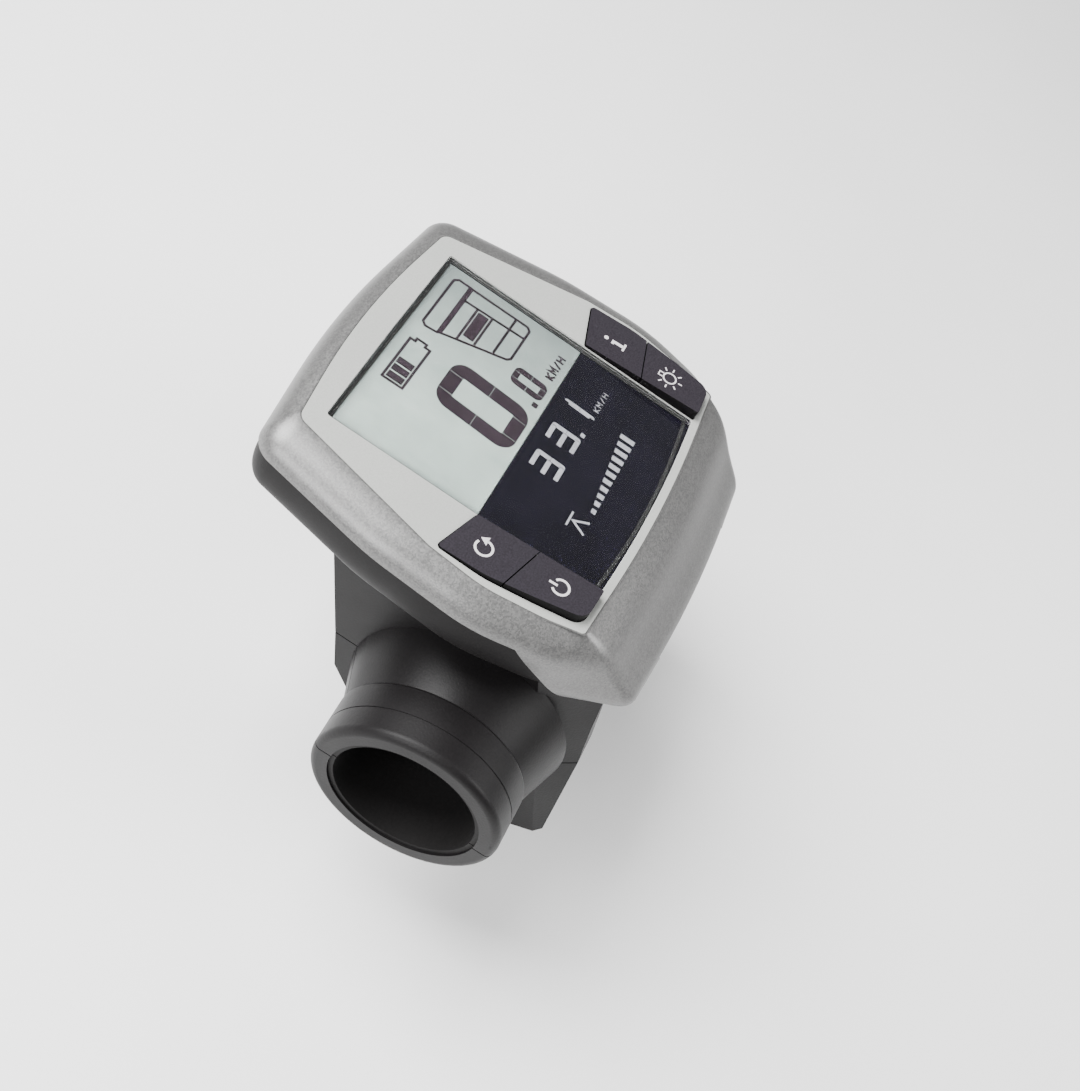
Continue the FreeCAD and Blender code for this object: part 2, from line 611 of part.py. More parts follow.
def dock_body():
    """The black holder: a plate with the guide rail on top and two legs that straddle the stem."""
    blank = side_prism("dock_blank", DOCK_SIDE, "-dock_half", "dock_half")
    rail_neck = block("rail_neck_block", ("-rail_neck", "rail_neck"), ("-13", "33.2"),
                      (DOCK_FACE - 1, "display_height - rail_under + 0.1"))
    rail_flange = block("rail_flange", ("-rail_half", "rail_half"), ("-13", "33.4"),
                        ("display_height - rail_under", "display_height - rail_top"))
    neck_front = block("rail_neck_clear", ("-30", "30"), ("30.8", "34"),
                       (DOCK_FACE, "display_height - rail_under"))
    collars = [clamp_ring("dock_ring_%d" % side, side, "0.15", "30") for side in (1, -1)]
    gland_boss = rod("gland_boss", "Y", ("0", "36", "27.2"), "4.6", "6")
    stem_gap = block("stem_gap", ("-stem_half", "stem_half"), ("-60", "60"), ("-40", "stem_clear"))
    bore = rod("dock_bore", "X", ("-70", "0", "0"), "bore_radius", "140")
    chamfers = [rear_chamfer("dock_chamfer_%d" % side, side) for side in (1, -1)]
    carrier_way = block("carrier_way", ("-carrier_half - 0.15", "carrier_half + 0.15"), ("13.8", "24.2"),
                        ("20", "40"))
    carrier_seat = block("carrier_seat", ("-carrier_half - 2.2", "carrier_half + 2.2"), ("11.8", "26.2"),
                         ("20", "27.2"))
    cover_seat = block("cover_seat", ("-16.2", "16.2"), ("5.8", "33.2"), ("20", "24.5"))
    wire_way = rod("wire_way", "Y", ("0", "24", "27.2"), "2.3", "22")
    latch_sides = ("-latch_half - 0.4", "latch_half + 0.4")
    latch_slot = block("latch_slot", latch_sides, ("-40", "-2.6"), ("24.7", "31.2"))
    latch_mouth = block("latch_mouth", latch_sides, ("-40", "-13.4"), ("24.7", "40"))
    latch_pin_way = rod("latch_pin_way", "X", ("-12", "latch_pivot_fore", "latch_pivot_up"),
                        "latch_pin_radius", "24")
    lock_way = rod("lock_way", "Z", ("0", "-15.4", "20"), "1.25", "5")
    cover_holes = [rod("cover_hole", "Z", (x, "19", "24"), "0.8", "4.5") for x in ("-14.4", "14.4")]
    inserts = [rod("insert_way", "Z", (x, y, "0"), "insert_radius", "7.4") for side in (1, -1)
               for x, y in screw_spots(side)]
    legs = cut("dock_legs", blank, chamfers)
    whole = fuse("dock_whole", [legs, rail_neck, rail_flange, gland_boss] + collars)
    carved = cut("dock_carved", whole, [stem_gap, bore, neck_front])
    ways = [carrier_way, carrier_seat, cover_seat, wire_way, latch_slot, latch_mouth, latch_pin_way, lock_way]
    node("dock_body", cut("dock_body", carved, ways + cover_holes + inserts))


def clamp_cap(name, side):
    """The lower half of one clamp, which comes straight off when its screws are undone."""
    edges = ("stem_half", "dock_half") if side > 0 else ("-dock_half", "-stem_half")
    blank = side_prism(name + "_blank", CAP_SIDE, *edges)
    leg = cut(name + "_leg", blank, [rear_chamfer(name + "_chamfer", side)])
    collar = clamp_ring(name + "_ring", side, "-30", "-0.15")
    bore = rod(name + "_bore", "X", ("-70", "0", "0"), "bore_radius", "140")
    holes = []
    for x, y in screw_spots(side):
        holes.append(rod(name + "_hole", "Z", (x, y, "-40"), "screw_radius + 0.15", "45"))
        holes.append(rod(name + "_sink", "Z", (x, y, "-40"), "2.9", "29.2" if y == "screw_front" else "18.5"))
    node(name, cut(name, fuse(name + "_whole", [leg, collar]), [bore] + holes))


def cap_screws(name, side):
    """The two screws of a clamp cap, heads sunk in the cap from below."""
    screws = []
    for x, y in screw_spots(side):
        head_low = "-13.6" if y == "screw_front" else "-24.3"
        head = rod(name + "_head", "Z", (x, y, head_low), "2.7", "2.7")
        shank = rod(name + "_shank", "Z", (x, y, head_low), "screw_radius", "(6.6) - (%s)" % head_low)
        drive = doc.addObject("Part::Prism", name + "_drive")
        drive.Polygon = 6
        bind(drive, Circumradius="1.4", Height="1.7")
        place(drive, x, y, "(%s) - 0.1" % head_low)
        screws.append(cut(name + "_one", fuse(name + "_join", [head, shank]), [drive]))
    node(name, group(name, screws))


def clamp_inserts(name, side):
    """Brass threaded inserts in the dock's leg; the thread is drawn as a plain running bore."""
    inserts = []
    for x, y in screw_spots(side):
        sleeve = rod(name + "_sleeve", "Z", (x, y, "0.35"), "insert_radius", "6.9")
        bore = rod(name + "_thread", "Z", (x, y, "0"), "screw_radius + 0.05", "8")
        inserts.append(cut(name + "_one", sleeve, [bore]))
    node(name, group(name, inserts))


def liner(name, side, upper):
    """Half of the rubber sleeve between a clamp and the bar."""
    start = "stem_half + 0.3" if side > 0 else "-collar_end + 0.6"
    length = "collar_end - stem_half - 0.9"
    sleeve = rod(name + "_sleeve", "X", (start, "0", "0"), "bore_radius - 0.02", length)
    bore = rod(name + "_bore", "X", ("-70", "0", "0"), "bar_radius", "140")
    span = ("0.15", "30") if upper else ("-30", "-0.15")
    keep = block(name + "_keep", ("-70", "70"), ("-30", "30"), span)
    node(name, common(name, [cut(name + "_tube", sleeve, [bore]), keep]))


def dock_inside():
    """The spring-contact carrier, its barrels, seal and cover, and the lead's gland."""
    top = "display_height - rail_top - 0.5"
    block_part = block("carrier_block", ("-carrier_half", "carrier_half"), ("14", "24"), ("24.7", top))
    flange = block("carrier_flange", ("-carrier_half - 2", "carrier_half + 2"), ("12", "26"),
                   ("24.7", "26.6"))
    spots = contact_spots()
    ways = [rod("barrel_way", "Z", (x, y, "24"), "1.2", "20") for x, y in spots]
    node("contact_carrier", cut("contact_carrier", fuse("carrier_whole", [block_part, flange]), ways))
    barrels = []
    for x, y in spots:
        tube = rod("barrel_tube", "Z", (x, y, "25"), "1.2", "(%s) - 25" % top)
        bore = rod("barrel_bore", "Z", (x, y, "27"), "pin_radius + 0.05", "20")
        barrels.append(cut("barrel", tube, [bore]))
    node("contact_barrels", group("contact_barrels", barrels))
    pin_top = "display_height - channel_top - 0.05"
    pins = [fuse("pin", [rod("pin_shaft", "Z", (x, y, "28.5"), "pin_radius", "(%s) - 28.5 - 0.45" % pin_top),
                         cone("pin_tip", "Z", (x, y, "(%s) - 0.45" % pin_top), "pin_radius", "0.4", "0.45")])
            for x, y in spots]
    node("contact_pins", group("contact_pins", pins))
    seal_blank = block("contact_seal_blank", ("-carrier_half - 2", "carrier_half + 2"), ("12", "26"),
                       ("26.65", "27.18"))
    seal_hole = block("contact_seal_hole", ("-carrier_half - 0.1", "carrier_half + 0.1"), ("13.9", "24.1"),
                      ("26", "28"))
    node("contact_seal", cut("contact_seal", seal_blank, [seal_hole]))
    plate = block("cover_plate", ("-16", "16"), ("6", "33"), ("22.7", "24.45"))
    cover_ways = [rod("cover_way", "Z", (x, "19", "22"), "1.0", "4") for x in ("-14.4", "14.4")]
    cover_sinks = [cone("cover_sink", "Z", (x, "19", "22.65"), "1.75", "1.0", "1.0")
                   for x in ("-14.4", "14.4")]
    node("dock_cover", cut("dock_cover", plate, cover_ways + cover_sinks))
    screws = []
    for x in ("-14.4", "14.4"):
        head = cone("cover_screw_head", "Z", (x, "19", "22.75"), "1.6", "0.8", "0.85")
        shank = rod("cover_screw_shank", "Z", (x, "19", "23"), "0.8", "5.2")
        screws.append(fuse("cover_screw", [head, shank]))
    node("cover_screws", group("cover_screws", screws))
    sleeve = rod("gland_sleeve", "Y", ("0", "38", "27.2"), "2.28", "6.4")
    collar = rod("gland_collar", "Y", ("0", "42.1", "27.2"), "3.6", "4.4")
    nose = cone("gland_nose", "Y", ("0", "46.5", "27.2"), "3.6", "2.5", "3.5")
    way = rod("gland_way", "Y", ("0", "37", "27.2"), "1.5", "20")
    node("cable_gland", cut("cable_gland", fuse("gland_whole", [sleeve, collar, nose]), [way]))


def latch_parts():
    """The sprung latch tongue under the chin, its pin and spring, and the screw that can lock it."""
    arm = block("latch_arm", ("-latch_half", "latch_half"), ("-24.2", "-3.4"), ("27.4", "30.2"))
    hub = rod("latch_hub", "X", ("-latch_half", "latch_pivot_fore", "latch_pivot_up"), "2.2",
              "latch_half * 2")
    nib = side_prism("latch_nib", [(-18.9, 30), (-15.6, 30), (-15.6, 33.8), (-16.2, 34.3), (-17.6, 34.3),
                                   (-18.9, 32.8)], "-4.8", "4.8")
    tab = side_prism("latch_tab", [(-24.2, 30.2), (-28.2, 28.9), (-29.0, 26.4), (-27.2, 25.6), (-24.2, 27.4)],
                     "-latch_half", "latch_half")
    bore = rod("latch_bore", "X", ("-20", "latch_pivot_fore", "latch_pivot_up"),
               "latch_pin_radius + 0.05", "40")
    spring_seat = rod("latch_spring_seat", "Z", ("0", "-20.5", "27"), "2.3", "1.2")
    node("latch", cut("latch", fuse("latch_whole", [arm, hub, nib, tab]), [bore, spring_seat]))
    node("latch_pin", rod("latch_pin", "X", ("-11.9", "latch_pivot_fore", "latch_pivot_up"),
                          "latch_pin_radius", "23.8"))
    shank = rod("lock_shank", "Z", ("0", "-15.4", "21.3"), "1.2", "4.6")
    head = rod("lock_head", "Z", ("0", "-15.4", "20.5"), "2.2", "1.8")
    slot = block("lock_slot", ("-2.5", "2.5"), ("-15.75", "-15.05"), ("20", "21.2"))
    node("lock_screw", cut("lock_screw", fuse("lock_whole", [head, shank]), [slot]))


def latch_spring():
    """The coil under the latch tongue."""
    body = new_body("latch_coil")
    wire = [Part.Circle(FreeCAD.Vector(1.75, 0, 0), FreeCAD.Vector(0, 0, 1), 0.22)]
    sketch = sketch_on(body, "latch_wire", "XZ", wire)
    coil = body.newObject("PartDesign::AdditiveHelix", "latch_helix")
    coil.Profile = sketch
    coil.ReferenceAxis = (sketch, ["V_Axis"])
    coil.Mode = "pitch-height-angle"
    bind(coil, Pitch="0.72", Height="2.16")
    place(body, "0", "-20.5", "25.1")
    node("latch_spring", body)


def build():
    front_shell()
    lower_shell()
    shell_seal()
    shell_screws()
    bezel()
    display_window()
    panels()
    for name, side, rear in (("reset_button", -1, False), ("power_button", -1, True),
                             ("info_button", 1, False), ("lamp_button", 1, True)):
        key_cap(name, side, rear)
    key_mat("key_mat_left", -1)
    key_mat("key_mat_right", 1)
    dome_switches()
    electronics()
    contact_pads()
    usb_flap()
    dock_body()
    for word, side in (("left", -1), ("right", 1)):
        clamp_cap("clamp_cap_" + word, side)
        cap_screws("cap_screws_" + word, side)
        clamp_inserts("clamp_inserts_" + word, side)
        liner("upper_liner_" + word, side, True)
        liner("lower_liner_" + word, side, False)
    dock_inside()
    latch_parts()
    latch_spring()


def export_all():
    """Recompute, refuse a broken object, and write each sub-part."""
    doc.recompute()
    faults = [obj.Name for obj in doc.Objects if "Invalid" in obj.State or "Error" in obj.State]
    if faults:
        raise RuntimeError("objects in error: " + ", ".join(faults))
    for name, obj in NODES.items():
        shape = obj.Shape
        if shape.isNull() or not shape.isValid() or not shape.Solids:
            raise RuntimeError("bad shape: " + name)
        shape.exportStep("parts/%s.step" % name)
        print(name, len(shape.Solids), "solids", round(shape.Volume, 1), "mm3")


build()
export_all()
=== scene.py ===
import bmesh
import bpy
import json
import math
from mathutils import Matrix, Vector


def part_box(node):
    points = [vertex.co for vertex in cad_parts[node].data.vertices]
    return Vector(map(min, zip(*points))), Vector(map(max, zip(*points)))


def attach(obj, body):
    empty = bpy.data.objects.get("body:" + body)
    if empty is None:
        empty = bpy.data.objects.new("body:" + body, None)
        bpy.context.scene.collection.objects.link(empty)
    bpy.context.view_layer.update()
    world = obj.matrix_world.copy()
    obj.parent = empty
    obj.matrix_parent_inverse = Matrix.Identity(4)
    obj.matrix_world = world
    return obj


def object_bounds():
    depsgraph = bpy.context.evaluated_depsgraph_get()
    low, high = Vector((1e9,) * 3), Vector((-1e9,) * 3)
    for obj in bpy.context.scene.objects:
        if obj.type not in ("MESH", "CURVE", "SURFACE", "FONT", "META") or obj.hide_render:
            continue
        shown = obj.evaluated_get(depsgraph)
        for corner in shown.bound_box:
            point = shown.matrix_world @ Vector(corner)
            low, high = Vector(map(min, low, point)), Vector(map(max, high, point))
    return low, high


# A handlebar cycling computer on its dock: materials for the CAD nodes, the figures behind the window,
# the marks on the keys and a few moulded details, with studio light and the photograph's camera.

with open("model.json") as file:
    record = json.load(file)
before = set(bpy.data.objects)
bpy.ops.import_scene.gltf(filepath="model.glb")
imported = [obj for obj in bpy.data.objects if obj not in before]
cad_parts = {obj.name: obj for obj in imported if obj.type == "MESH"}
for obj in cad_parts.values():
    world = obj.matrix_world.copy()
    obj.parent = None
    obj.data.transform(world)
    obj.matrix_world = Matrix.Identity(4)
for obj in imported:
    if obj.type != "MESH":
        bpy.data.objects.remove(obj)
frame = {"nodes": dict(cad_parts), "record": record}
CAD_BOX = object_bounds()
NODES = frame["nodes"]
MM = 0.001
FLOOR_DROP = 0.0255  # below the dock, so that a clamp cap lifted off stays above the floor

# The display's own frame: x to the rider's right, y forward, millimetres from the window area's middle.
PANEL_FRONT = 17.6
DISPLAY_PLACE = Vector((0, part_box("lcd_panel")[1].y - PANEL_FRONT * MM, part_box("bezel")[1].z))
PANEL_TOP = (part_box("lcd_panel")[1].z - DISPLAY_PLACE.z) / MM
WINDOW_BASE = (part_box("display_window")[0].z - DISPLAY_PLACE.z) / MM


# ---------------------------------------------------------------- materials

class Nodes:
    """Short names for building one material's node tree."""

    def __init__(self, name):
        self.material = bpy.data.materials.new(name)
        self.material.use_nodes = True
        self.tree = self.material.node_tree
        self.shader = self.tree.nodes["Principled BSDF"]
        self.place = self.tree.nodes.new("ShaderNodeTexCoord").outputs["Object"]

    def add(self, kind, **inputs):
        node = self.tree.nodes.new(kind)
        for key, value in inputs.items():
            self.feed(node.inputs[key.replace("_", " ")], value)
        return node

    def feed(self, socket, value):
        if isinstance(value, bpy.types.NodeSocket):
            self.tree.links.new(value, socket)
        else:
            socket.default_value = value

    def stretched(self, scale):
        """The object's coordinates, scaled by a vector."""
        return self.add("ShaderNodeMapping", Vector=self.place, Scale=scale).outputs["Vector"]

    def noise(self, scale, detail=3.0, place=None):
        """Noise whose scale is in cells for each metre."""
        node = self.add("ShaderNodeTexNoise", Vector=place or self.place, Scale=scale, Detail=detail)
        return node.outputs["Fac"]

    def ranged(self, value, low, high, start=0.3, end=0.7):
        node = self.add("ShaderNodeMapRange", Value=value, From_Min=start, From_Max=end,
                        To_Min=low, To_Max=high)
        return node.outputs["Result"]

    def mixed(self, factor, first, second):
        node = self.tree.nodes.new("ShaderNodeMix")
        node.data_type = "RGBA"
        self.feed(node.inputs["Factor"], factor)
        self.feed(node.inputs["A"], first)
        self.feed(node.inputs["B"], second)
        return node.outputs["Result"]

    def bump(self, height, strength, depth):
        node = self.add("ShaderNodeBump", Height=height, Strength=strength, Distance=depth)
        self.feed(self.shader.inputs["Normal"], node.outputs["Normal"])

    def finish(self, metallic=0.0, specular=0.5):
        self.shader.inputs["Metallic"].default_value = metallic
        self.shader.inputs["Specular IOR Level"].default_value = specular
        return self.material


def colour(red, green, blue, share=1.0):
    return (red * share, green * share, blue * share, 1.0)


def moulded(name, tint, roughness, grain=2600.0, depth=0.00006, strength=0.5, spread=0.16, specular=0.5,
            metallic=0.0):
    """Moulded plastic or rubber: fine grain, soft patches of tone and uneven gloss."""
    m = Nodes(name)
    fine = m.noise(grain, 2.0)
    patches = m.noise(45.0, 4.0)
    tone = m.mixed(m.ranged(fine, 0.0, 1.0), colour(*tint, 1 - spread), colour(*tint, 1 + spread))
    worn = m.mixed(m.ranged(patches, 0.0, 0.3, 0.35, 0.75), tone, colour(*tint, 1.0 + 2.2 * spread))
    m.feed(m.shader.inputs["Base Color"], worn)
    m.feed(m.shader.inputs["Roughness"], m.ranged(patches, roughness - 0.06, roughness + 0.08))
    m.bump(fine, strength, depth)
    return m.finish(metallic, specular)


def silver_paint():
    """Satin silver paint with fine bright flakes over a slightly rippled coat."""
    m = Nodes("silver_paint")
    flakes = m.add("ShaderNodeTexVoronoi", Vector=m.place, Scale=3400.0).outputs["Color"]
    glint = m.add("ShaderNodeSeparateColor", Color=flakes).outputs["Red"]
    cloud = m.noise(2600.0, 2.0)
    base = m.mixed(m.ranged(glint, 0.0, 1.0, 0.1, 0.95), colour(0.115, 0.114, 0.113),
                   colour(0.175, 0.173, 0.17))
    toned = m.mixed(m.ranged(cloud, 0.0, 0.3, 0.35, 0.7), base, colour(0.115, 0.114, 0.112))
    m.feed(m.shader.inputs["Base Color"], toned)
    m.feed(m.shader.inputs["Roughness"], m.ranged(glint, 0.36, 0.46, 0.0, 1.0))
    m.bump(cloud, 0.2, 0.00002)
    m.shader.inputs["Coat Weight"].default_value = 0.1
    m.shader.inputs["Coat Roughness"].default_value = 0.3
    return m.finish(0.55, 0.4)


def bezel_plastic():
    """Smooth pale grey moulding, a little darker and cooler in soft patches."""
    m = Nodes("bezel_plastic")
    fine = m.noise(3200.0, 2.0)
    patches = m.noise(60.0, 3.0)
    base = m.mixed(m.ranged(fine, 0.0, 1.0), colour(0.30, 0.305, 0.29), colour(0.35, 0.355, 0.34))
    toned = m.mixed(m.ranged(patches, 0.0, 0.35), base, colour(0.27, 0.275, 0.262))
    m.feed(m.shader.inputs["Base Color"], toned)
    m.feed(m.shader.inputs["Roughness"], m.ranged(patches, 0.3, 0.42))
    m.bump(fine, 0.25, 0.00003)
    return m.finish(0.0, 0.5)


def window_clear():
    """Clear hard-coated plastic that lets light through to the panels, with faint wiping marks."""
    m = Nodes("window_clear")
    wipes = m.noise(1.0, 4.0, m.stretched((900.0, 120.0, 200.0)))
    m.feed(m.shader.inputs["Base Color"], m.mixed(m.ranged(wipes, 0.0, 1.0), colour(0.96, 0.98, 0.98),
                                                   colour(1.0, 1.0, 1.0)))
    m.feed(m.shader.inputs["Roughness"], m.ranged(wipes, 0.03, 0.075, 0.35, 0.7))
    m.shader.inputs["Transmission Weight"].default_value = 1.0
    m.shader.inputs["IOR"].default_value = 1.42
    shadow = m.add("ShaderNodeLightPath").outputs["Is Shadow Ray"]
    clear = m.add("ShaderNodeBsdfTransparent")
    both = m.tree.nodes.new("ShaderNodeMixShader")
    m.feed(both.inputs["Fac"], shadow)
    m.tree.links.new(m.shader.outputs["BSDF"], both.inputs[1])
    m.tree.links.new(clear.outputs["BSDF"], both.inputs[2])
    m.tree.links.new(both.outputs["Shader"], m.tree.nodes["Material Output"].inputs["Surface"])
    return m.finish(0.0, 0.06)


def lcd_glass():
    """The grey-green reflective panel: a faint fine grid and mottled tone, with painted shade darkening it
    towards the right and painted shadow along the front and left edges.
    """
    m = Nodes("lcd_glass")
    axes = m.add("ShaderNodeSeparateXYZ", Vector=m.place)
    low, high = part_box("lcd_panel")
    # Painted shadow: the front and left edges darken, where the bezel would shade the recessed panel.
    front = m.ranged(axes.outputs["Y"], 0.0, 1.0, high.y - 0.0048, high.y - 0.0002)
    left = m.ranged(axes.outputs["X"], 1.0, 0.0, low.x + 0.0002, low.x + 0.0026)
    edge = m.add("ShaderNodeMath", Value=0.0)
    edge.operation = "MAXIMUM"
    m.feed(edge.inputs[0], front)
    m.feed(edge.inputs[1], left)
    mottle = m.noise(140.0, 4.0)
    fine = m.noise(2400.0, 2.0)
    base = m.mixed(m.ranged(mottle, 0.0, 1.0), colour(0.135, 0.165, 0.151), colour(0.18, 0.212, 0.194))
    # Painted shade: the panel is mixed towards near black towards its right side.
    painted_right_shade = m.mixed(m.ranged(axes.outputs["X"], 0.0, 0.72, low.x + 0.016, high.x), base,
                  colour(0.036, 0.042, 0.044))
    grained = m.mixed(m.ranged(fine, 0.0, 0.12), painted_right_shade, colour(0.135, 0.16, 0.148))
    shaded = m.add("ShaderNodeMath", Value=0.0)
    shaded.operation = "POWER"
    m.feed(shaded.inputs[0], edge.outputs["Value"])
    shaded.inputs[1].default_value = 1.6
    shadow = m.ranged(shaded.outputs["Value"], 0.0, 0.82, 0.0, 1.0)
    m.feed(m.shader.inputs["Base Color"], m.mixed(shadow, grained, colour(0.035, 0.038, 0.042)))
    m.feed(m.shader.inputs["Roughness"], m.ranged(fine, 0.32, 0.45))
    m.bump(fine, 0.12, 0.00002)
    return m.finish(0.0, 0.35)


def dark_display():
    """The near-black panel, with the faintest violet cloud and a fine pixel grain."""
    m = Nodes("dark_display")
    cloud = m.noise(120.0, 3.0)
    pixel = m.noise(3800.0, 1.0)
    base = m.mixed(m.ranged(cloud, 0.0, 1.0), colour(0.0008, 0.0007, 0.0018), colour(0.002, 0.0017, 0.0038))
    grained = m.mixed(m.ranged(pixel, 0.0, 0.3), base, colour(0.003, 0.0027, 0.0056))
    m.feed(m.shader.inputs["Base Color"], grained)
    m.feed(m.shader.inputs["Roughness"], m.ranged(cloud, 0.2, 0.3))
    m.bump(pixel, 0.05, 0.000002)
    return m.finish(0.0, 0.0)


def key_plastic():
    """Soft dark grey key tops, with painted shade turning their steep sides near black."""
    m = Nodes("key_plastic")
    normal = m.tree.nodes.new("ShaderNodeNewGeometry").outputs["Normal"]
    upward = m.add("ShaderNodeSeparateXYZ", Vector=normal).outputs["Z"]
    fine = m.noise(3000.0, 2.0)
    patches = m.noise(90.0, 3.0)
    top = m.mixed(m.ranged(fine, 0.0, 1.0), colour(0.013, 0.0112, 0.0142), colour(0.023, 0.0198, 0.025))
    toned = m.mixed(m.ranged(patches, 0.0, 0.35), top, colour(0.015, 0.0137, 0.0172))
    # Painted shade: where the surface turns away from facing up, it is mixed towards near black.
    painted_side_shade = m.mixed(m.ranged(upward, 0.0, 1.0, 0.55, 0.9), colour(0.0025, 0.0022, 0.0026), toned)
    m.feed(m.shader.inputs["Base Color"], painted_side_shade)
    m.feed(m.shader.inputs["Roughness"], m.ranged(patches, 0.46, 0.58))
    m.bump(fine, 0.5, 0.00005)
    return m.finish(0.0, 0.1)


def metal(name, tint, roughness, stretch=(300.0, 300.0, 6000.0), spread=0.14, depth=0.00001):
    """Turned or plated metal: fine streaks along one axis and a little tarnish."""
    m = Nodes(name)
    streaks = m.noise(1.0, 3.0, m.stretched(stretch))
    tarnish = m.noise(260.0, 4.0)
    base = m.mixed(m.ranged(streaks, 0.0, 1.0), colour(*tint, 1 - spread), colour(*tint, 1 + spread))
    m.feed(m.shader.inputs["Base Color"], m.mixed(m.ranged(tarnish, 0.0, 0.4, 0.45, 0.8), base,
                                                   colour(*tint, 0.55)))
    m.feed(m.shader.inputs["Roughness"], m.ranged(tarnish, roughness - 0.05, roughness + 0.12))
    m.bump(streaks, 0.3, depth)
    return m.finish(1.0, 0.5)


def circuit_board():
    """Green solder mask over raised copper tracks."""
    m = Nodes("circuit_board")
    tracks = m.add("ShaderNodeTexBrick", Vector=m.place, Scale=420.0, Mortar_Size=0.06, Bias=0.2)
    tracks.inputs["Color1"].default_value = colour(0.012, 0.10, 0.045)
    tracks.inputs["Color2"].default_value = colour(0.010, 0.075, 0.035)
    tracks.inputs["Mortar"].default_value = colour(0.03, 0.19, 0.09)
    grime = m.noise(220.0, 3.0)
    m.feed(m.shader.inputs["Base Color"], m.mixed(m.ranged(grime, 0.0, 0.3), tracks.outputs["Color"],
                                                   colour(0.01, 0.06, 0.03)))
    m.feed(m.shader.inputs["Roughness"], m.ranged(grime, 0.3, 0.45))
    m.bump(tracks.outputs["Fac"], 0.4, 0.00004)
    return m.finish(0.0, 0.5)


def cell_foil():
    """The cell's crinkled foil pouch."""
    m = Nodes("cell_foil")
    creases = m.add("ShaderNodeTexVoronoi", Vector=m.place, Scale=260.0).outputs["Distance"]
    haze = m.noise(150.0, 4.0)
    m.feed(m.shader.inputs["Base Color"], m.mixed(m.ranged(haze, 0.0, 1.0), colour(0.5, 0.51, 0.53),
                                                   colour(0.68, 0.69, 0.7)))
    m.feed(m.shader.inputs["Roughness"], m.ranged(haze, 0.26, 0.42))
    m.bump(creases, 0.35, 0.00015)
    return m.finish(0.9, 0.5)


def ribbon_film():
    """Amber film with parallel copper lines."""
    m = Nodes("ribbon")
    lines = m.add("ShaderNodeTexWave", Vector=m.place, Scale=420.0, Distortion=0.0)
    lines.bands_direction = "X"
    mist = m.noise(300.0, 3.0)
    base = m.mixed(m.ranged(lines.outputs["Fac"], 0.0, 1.0, 0.4, 0.6), colour(0.42, 0.20, 0.03),
                   colour(0.62, 0.34, 0.10))
    m.feed(m.shader.inputs["Base Color"], base)
    m.feed(m.shader.inputs["Roughness"], m.ranged(mist, 0.25, 0.4))
    m.bump(lines.outputs["Fac"], 0.3, 0.00002)
    return m.finish(0.0, 0.5)


def make_materials():
    """One material for each slot of the record, and the inks that the figures and marks are printed in."""
    return {
        "silver_paint": silver_paint(),
        "bezel_plastic": bezel_plastic(),
        "window_clear": window_clear(),
        "lcd_glass": lcd_glass(),
        "dark_display": dark_display(),
        "key_plastic": key_plastic(),
        "circuit_board": circuit_board(),
        "cell_foil": cell_foil(),
        "ribbon": ribbon_film(),
        "black_plastic": moulded("black_plastic", (0.0062, 0.0056, 0.0058), 0.52, 2600.0, 0.00005, 0.45,
                                 0.2, 0.12),
        "dock_plastic": moulded("dock_plastic", (0.0058, 0.0052, 0.0055), 0.42, 2200.0, 0.00006, 0.5,
                                0.2, 0.15),
        "seal_rubber": moulded("seal_rubber", (0.005, 0.005, 0.005), 0.75, 1800.0, 0.00004, 0.4, 0.2, 0.15),
        "liner_rubber": moulded("liner_rubber", (0.006, 0.0055, 0.0055), 0.7, 1400.0, 0.00008, 0.5, 0.2, 0.2),
        "flap_rubber": moulded("flap_rubber", (0.0095, 0.009, 0.0095), 0.66, 1900.0, 0.00005, 0.45, 0.2, 0.2),
        "chip_plastic": moulded("chip_plastic", (0.014, 0.014, 0.016), 0.5, 3000.0, 0.00002, 0.3),
        "diffuser": moulded("diffuser", (0.78, 0.80, 0.78), 0.3, 900.0, 0.00002, 0.2, 0.05),
        "white_plastic": moulded("white_plastic", (0.72, 0.72, 0.70), 0.42, 2000.0, 0.00003, 0.3, 0.06),
        "steel": metal("steel", (0.55, 0.56, 0.58), 0.28),
        "black_steel": metal("black_steel", (0.045, 0.045, 0.048), 0.38),
        "brass": metal("brass", (0.72, 0.52, 0.22), 0.3),
        "gold_contact": metal("gold_contact", (0.86, 0.62, 0.26), 0.22, (900.0, 900.0, 900.0), 0.08),
        "lcd_ink": moulded("lcd_ink", (0.0075, 0.0042, 0.0066), 0.42, 2400.0, 0.00001, 0.1, 0.2, 0.1),
        "glow_ink": moulded("glow_ink", (0.125, 0.125, 0.135), 0.5, 2600.0, 0.00001, 0.1, 0.2, 0.1),
        "key_ink": moulded("key_ink", (0.50, 0.48, 0.49), 0.55, 2600.0, 0.00001, 0.1, 0.12, 0.2),
    }


MATERIALS = make_materials()


def paint_nodes():
    """Give every CAD node its slot's material."""
    for part in frame["record"]["subparts"]:
        piece = NODES[part["node"]]
        if not piece.material_slots:
            piece.data.materials.append(None)
        for place in piece.material_slots:
            place.material = MATERIALS[part["material_slot"]]


# ---------------------------------------------------------------- small pieces in mesh code

def new_piece(name, mesh, body, material):
    """Link a mesh as a piece that rides on a body."""
    mesh.update()
    piece = bpy.data.objects.new(name, mesh)
    bpy.context.scene.collection.objects.link(piece)
    piece.data.materials.append(MATERIALS[material])
    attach(piece, body)
    return piece


